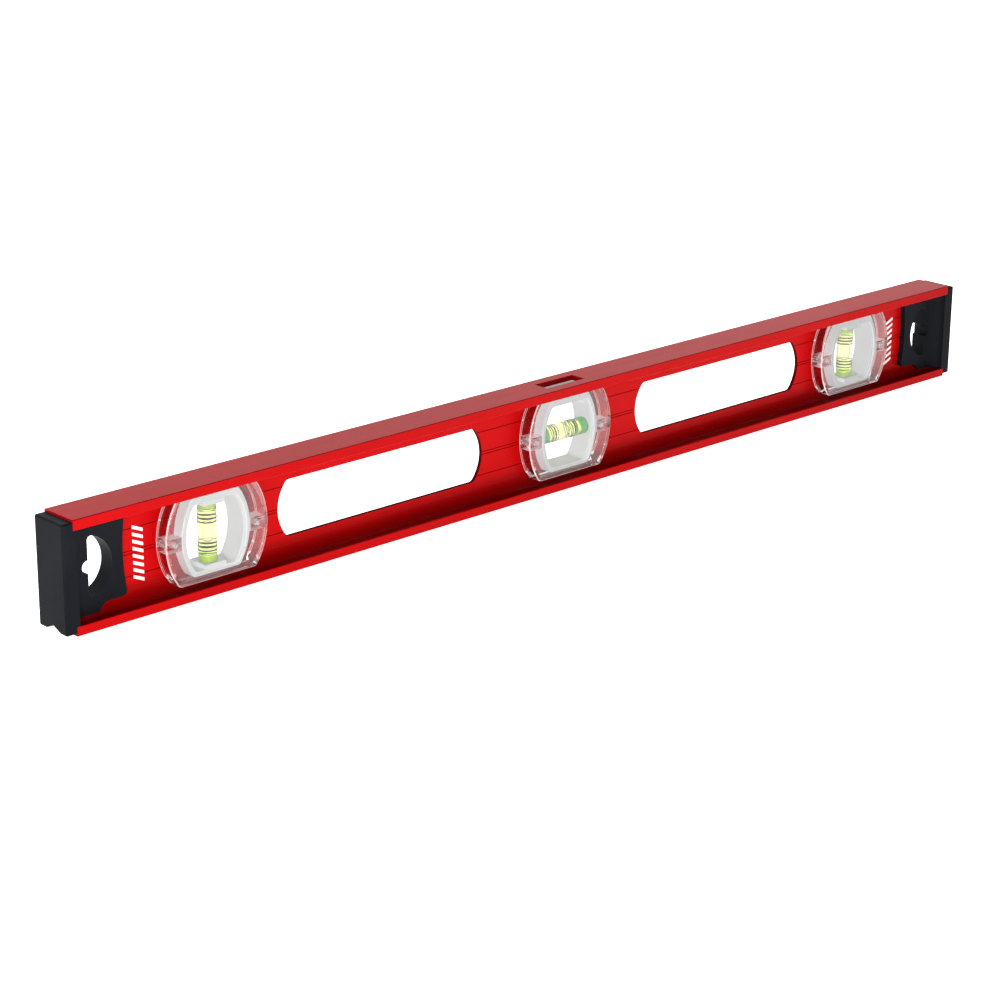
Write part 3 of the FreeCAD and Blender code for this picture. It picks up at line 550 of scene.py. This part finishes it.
def add_world():
    """Soft light from behind and little from the front. The camera sees plain white all round."""
    world = bpy.data.worlds.new("studio")
    world.use_nodes = True
    tree = world.node_tree
    tree.nodes.clear()
    coordinates = tree.nodes.new("ShaderNodeTexCoord")
    split = tree.nodes.new("ShaderNodeSeparateXYZ")
    ramp = tree.nodes.new("ShaderNodeMapRange")
    ramp.interpolation_type = "SMOOTHSTEP"
    limits = {"From Min": -0.12, "From Max": 0.45, "To Min": 0.06, "To Max": 1.55}
    for socket, value in limits.items():
        ramp.inputs[socket].default_value = value
    path = tree.nodes.new("ShaderNodeLightPath")
    seen = tree.nodes.new("ShaderNodeMath")
    seen.operation = "MAXIMUM"
    strength = tree.nodes.new("ShaderNodeMath")
    strength.operation = "MAXIMUM"
    background = tree.nodes.new("ShaderNodeBackground")
    output = tree.nodes.new("ShaderNodeOutputWorld")
    tree.links.new(coordinates.outputs["Generated"], split.inputs[0])
    tree.links.new(split.outputs["Y"], ramp.inputs["Value"])
    tree.links.new(path.outputs["Is Camera Ray"], seen.inputs[0])
    tree.links.new(path.outputs["Is Transmission Ray"], seen.inputs[1])
    tree.links.new(seen.outputs[0], strength.inputs[0])
    tree.links.new(ramp.outputs[0], strength.inputs[1])
    tree.links.new(strength.outputs[0], background.inputs["Strength"])
    tree.links.new(background.outputs[0], output.inputs["Surface"])
    background.inputs["Color"].default_value = grey(1)
    bpy.context.scene.world = world


def add_lamp(name, place, target, size, power, mirrored):
    """An area lamp. One that isn't mirrored shows neither in reflections nor through glass."""
    data = bpy.data.lights.new(name, "AREA")
    data.shape = "RECTANGLE"
    data.size, data.size_y = size
    data.energy = power
    lamp = bpy.data.objects.new(name, data)
    bpy.context.scene.collection.objects.link(lamp)
    lamp.location = place
    lamp.rotation_mode = "QUATERNION"
    lamp.rotation_quaternion = (Vector(target) - Vector(place)).to_track_quat("-Z", "Y")
    lamp.visible_camera = False
    lamp.visible_glossy = mirrored
    lamp.visible_transmission = mirrored


def dress_pieces():
    """Gives every CAD node its material, and adds the pieces that the CAD model has no mesh for."""
    dress("beam", red_coat())
    cap = cap_plastic()
    dress("left_end_cap", cap)
    dress("right_end_cap", cap)
    white = white_plastic()
    cover = cover_acrylic(middle("right_plumb_bubble"))
    pin = clear_acrylic(
        "pin_acrylic", (0.42, 0.36, 0.36, 1), wave_scale=700.0, wave_strength=0.5, roughest=0.45)
    tube = clear_acrylic(
        "tube_acrylic", (0.96, 0.97, 0.92, 1), wave_scale=120.0, wave_strength=0.04, roughest=0.02)
    air = bubble_air()
    ink = gauge_ink()
    plug = {
        "Z": plug_plastic("upright_plug_plastic", (0.50, 0.76, 0.02), (0.40, 0.64, 0.01)),
        "X": plug_plastic("level_plug_plastic", (0.08, 0.58, 0.12), (0.04, 0.44, 0.07)),
    }
    spirit = {axis: liquid("spirit_" + axis.lower(), axis) for axis in "XZ"}
    for station, (body, axis, ends) in STATIONS.items():
        for side in ("front", "back"):
            dress(f"{station}_{side}_cover", cover)
            dress(f"{station}_{side}_holder", white)
        dress(station + "_joining_pins", pin)
        dress(station + "_vial_tube", tube)
        dress(station + "_gauge_lines", ink)
        column = station + "_liquid_column"
        fill_bore(station, station + "_vial_liquid", column, spirit[axis])
        for end in ends:
            stopper = f"{station}_{end}_stopper"
            fill_bore(station, f"{station}_{end}_plug", stopper, plug[axis])
        air_bubble(station, axis, body, air)
    paint = print_white()
    for word, side in (("left", -1), ("right", 1)):
        add_print(word + "_front_print", side, -1, paint)
        add_print(word + "_back_print", side, 1, paint)


def main():
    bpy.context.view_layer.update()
    dress_pieces()
    add_camera()
    add_floor()
    add_world()
    for lamp in LAMPS:
        add_lamp(*lamp)
    scene = bpy.context.scene
    scene.view_settings.view_transform = "Standard"
    scene.cycles.caustics_refractive = False
    scene.cycles.max_bounces = BOUNCES
    scene.cycles.transmission_bounces = BOUNCES
    scene.cycles.transparent_max_bounces = BOUNCES


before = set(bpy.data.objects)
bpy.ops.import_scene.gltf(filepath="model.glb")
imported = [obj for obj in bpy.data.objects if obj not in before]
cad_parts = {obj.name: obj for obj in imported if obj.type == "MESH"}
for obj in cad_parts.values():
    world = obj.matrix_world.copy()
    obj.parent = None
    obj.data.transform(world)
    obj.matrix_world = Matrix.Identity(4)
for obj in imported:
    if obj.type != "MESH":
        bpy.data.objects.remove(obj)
main()
